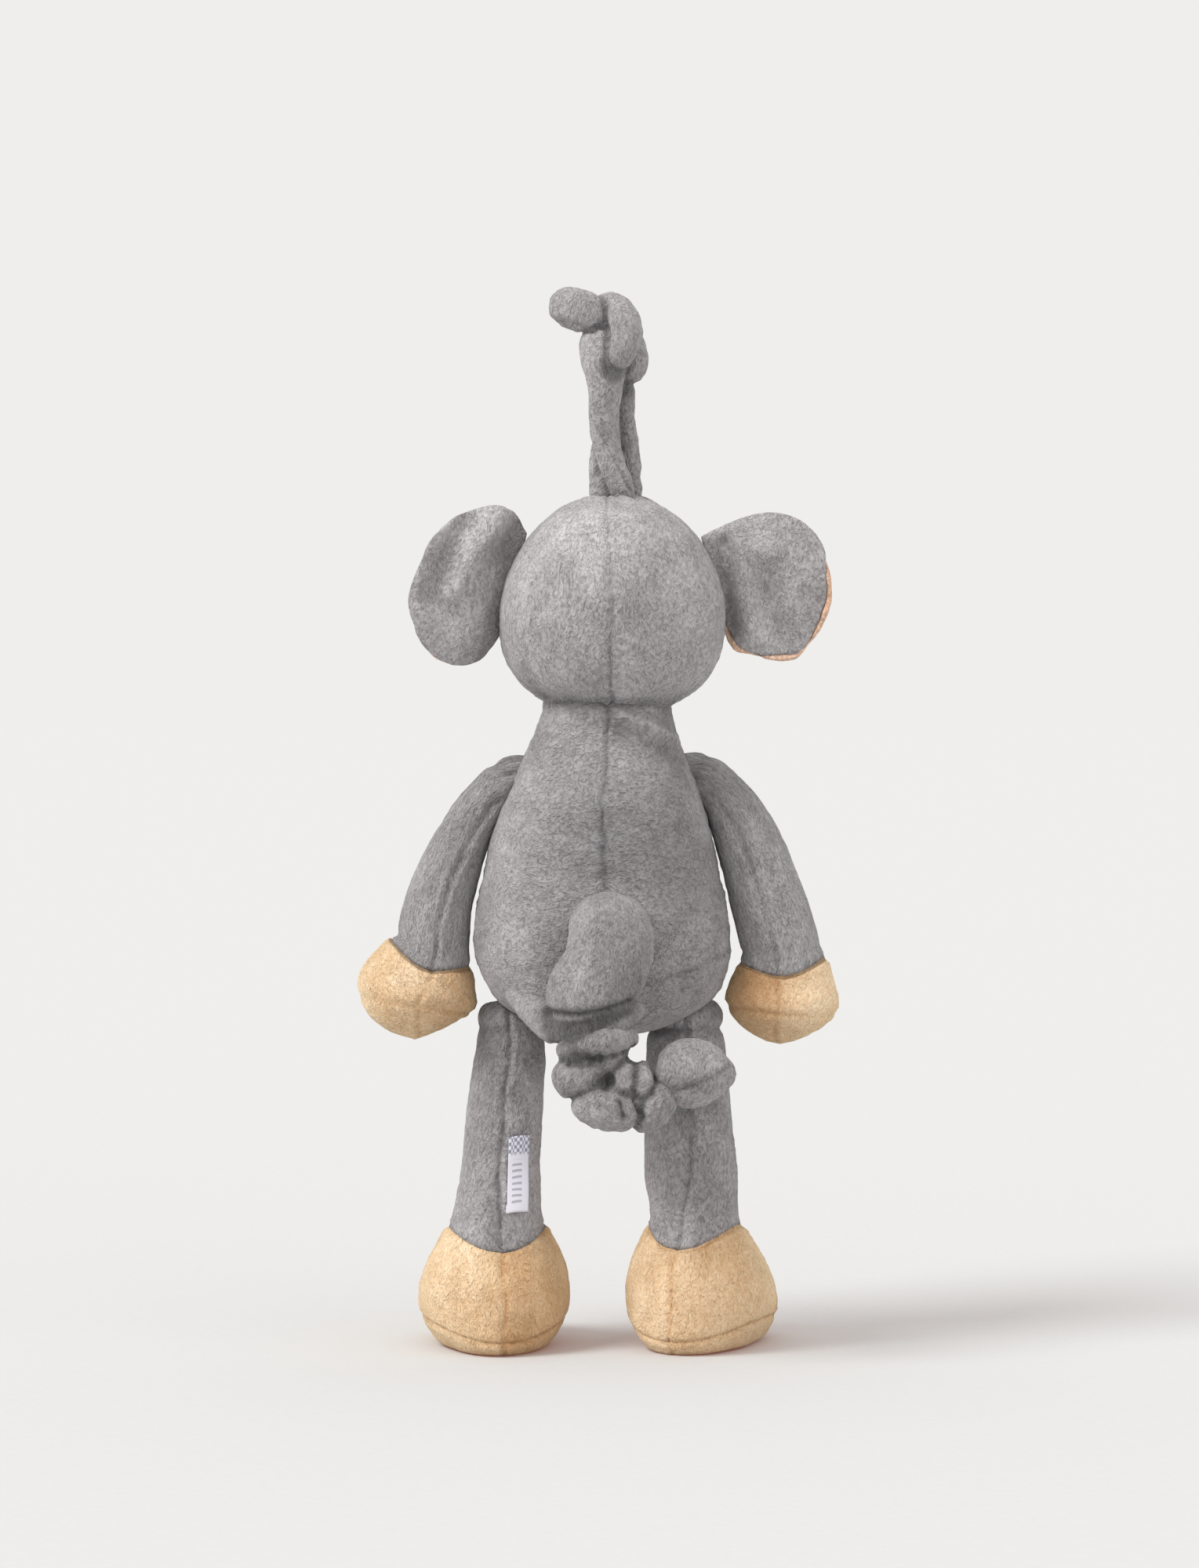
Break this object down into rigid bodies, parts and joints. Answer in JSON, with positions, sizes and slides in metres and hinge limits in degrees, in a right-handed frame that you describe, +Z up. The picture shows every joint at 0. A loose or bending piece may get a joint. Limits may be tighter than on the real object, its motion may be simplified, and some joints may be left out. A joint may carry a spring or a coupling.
{
  "type": "stuffed monkey",
  "caption": "Standing plush monkey with swinging limbs, big ears, a knotted hanging loop and a gathered tail that pulls the cord of a musical movement.",
  "frame": {"origin": "middle of the base of the bounding box, on the plane that the soles stand on", "axes": "+Z up to the hanging loop; +Y towards the monkey's face and toes; +X towards its right-hand side seen from behind"},
  "size_m": [0.1555, 0.1019, 0.3378],
  "materials": {
    "grey_plush": "short-pile plush",
    "tan_plush": "short-pile plush",
    "peach_plush": "short-pile plush",
    "filling": "polyester fibre",
    "dark_thread": "satin embroidery thread",
    "label_satin": "woven satin ribbon",
    "cord": "braided cord",
    "white_plastic": "moulded",
    "steel": "plain",
    "brass": "plain"
  },
  "bodies": {
    "torso": {"torso_back_left_panel": "grey_plush", "torso_back_right_panel": "grey_plush", "torso_front_panel": "grey_plush", "torso_seat_panel": "grey_plush", "torso_filling": "filling", "movement_case": "white_plastic", "movement_cover": "white_plastic", "cover_screw_1": "steel", "cover_screw_2": "steel", "cover_screw_3": "steel", "comb": "steel", "comb_screw": "steel", "mainspring": "steel"},
    "head": {"head_back_left_panel": "grey_plush", "head_back_right_panel": "grey_plush", "head_front_panel": "grey_plush", "face_panel": "tan_plush", "head_filling": "filling", "muzzle_panel": "tan_plush", "muzzle_filling": "filling", "nose_embroidery": "dark_thread", "mouth_stitching": "dark_thread", "left_eye_embroidery": "dark_thread", "right_eye_embroidery": "dark_thread"},
    "left_ear": {"left_ear_back_panel": "grey_plush", "left_ear_lining": "peach_plush"},
    "right_ear": {"right_ear_back_panel": "grey_plush", "right_ear_lining": "peach_plush"},
    "loop": {"hanging_loop": "grey_plush"},
    "left_arm": {"left_arm_sleeve": "grey_plush", "left_hand_palm": "tan_plush", "left_hand_inner_panel": "tan_plush", "left_hand_outer_panel": "tan_plush", "left_arm_filling": "filling"},
    "right_arm": {"right_arm_sleeve": "grey_plush", "right_hand_palm": "tan_plush", "right_hand_inner_panel": "tan_plush", "right_hand_outer_panel": "tan_plush", "right_arm_filling": "filling"},
    "left_leg": {"left_leg_sleeve": "grey_plush", "left_foot_inner_panel": "tan_plush", "left_foot_outer_panel": "tan_plush", "left_foot_sole": "tan_plush", "left_leg_filling": "filling", "side_label": "label_satin"},
    "right_leg": {"right_leg_sleeve": "grey_plush", "right_foot_inner_panel": "tan_plush", "right_foot_outer_panel": "tan_plush", "right_foot_sole": "tan_plush", "right_leg_filling": "filling"},
    "tail_base": {"tail_base_cover": "grey_plush", "tail_base_filling": "filling", "tail_gathered_sleeve": "grey_plush", "pull_cord": "cord"},
    "tail_tip": {"tail_tip_cover": "grey_plush", "tail_tip_filling": "filling"},
    "spool": {"cord_spool": "white_plastic"},
    "drum": {"pinned_drum": "brass"},
    "governor": {"governor": "brass"}
  },
  "joints": [
    {"name": "neck_nod", "type": "hinge", "parent": "torso", "child": "head", "pos_m": [0.0031, 0.0064, 0.203], "axis": [1, 0, 0], "range_deg": [-15, 15]},
    {"name": "left_ear_flap", "type": "hinge", "parent": "head", "child": "left_ear", "pos_m": [-0.02705, 0.0114, 0.246], "axis": [0.2846, 0, 0.9586], "range_deg": [-25, 25]},
    {"name": "right_ear_flap", "type": "hinge", "parent": "head", "child": "right_ear", "pos_m": [0.03715, 0.0114, 0.24425], "axis": [-0.2433, 0, 0.97], "range_deg": [-25, 25]},
    {"name": "loop_flop", "type": "hinge", "parent": "head", "child": "loop", "pos_m": [0.0052, 0.0058, 0.2788], "axis": [1, 0, 0], "range_deg": [-70, 70]},
    {"name": "left_shoulder_swing", "type": "hinge", "parent": "torso", "child": "left_arm", "pos_m": [-0.0246, 0.0114, 0.183], "axis": [1, 0, 0], "range_deg": [-40, 110]},
    {"name": "right_shoulder_swing", "type": "hinge", "parent": "torso", "child": "right_arm", "pos_m": [0.0274, 0.0114, 0.183], "axis": [1, 0, 0], "range_deg": [-40, 110]},
    {"name": "left_hip_swing", "type": "hinge", "parent": "torso", "child": "left_leg", "pos_m": [-0.028, 0.0144, 0.1], "axis": [1, 0, 0], "range_deg": [-24, 60]},
    {"name": "right_hip_swing", "type": "hinge", "parent": "torso", "child": "right_leg", "pos_m": [0.0284, 0.0144, 0.1], "axis": [1, 0, 0], "range_deg": [-24, 60]},
    {"name": "tail_lift", "type": "hinge", "parent": "torso", "child": "tail_base", "pos_m": [0.0028, -0.022, 0.1481], "axis": [-1, 0, 0], "range_deg": [0, 50]},
    {"name": "tail_pull", "type": "slide", "parent": "tail_base", "child": "tail_tip", "axis": [0.8554, 0.05, -0.5156], "range_m": [0, 0.09], "deforming": ["tail_gathered_sleeve", "pull_cord"]},
    {"name": "spool_spin", "type": "hinge", "parent": "torso", "child": "spool", "pos_m": [-0.0051, 0.0114, 0.134], "axis": [0, 0, -1], "range_deg": [0, 655]},
    {"name": "drum_spin", "type": "hinge", "parent": "torso", "child": "drum", "pos_m": [0.0077, 0.0114, 0.134], "axis": [0, 0, 1], "range_deg": [0, 1960]},
    {"name": "governor_spin", "type": "hinge", "parent": "torso", "child": "governor", "pos_m": [0.01387, 0.00405, 0.134], "axis": [0, 0, -1], "range_deg": [0, 3920]}
  ],
  "couplings": [
    {"joint": "spool_spin", "follows": "tail_pull", "rad_per_m": 126.58},
    {"joint": "drum_spin", "follows": "tail_pull", "rad_per_m": 379.75},
    {"joint": "governor_spin", "follows": "tail_pull", "rad_per_m": 759.49}
  ]
}
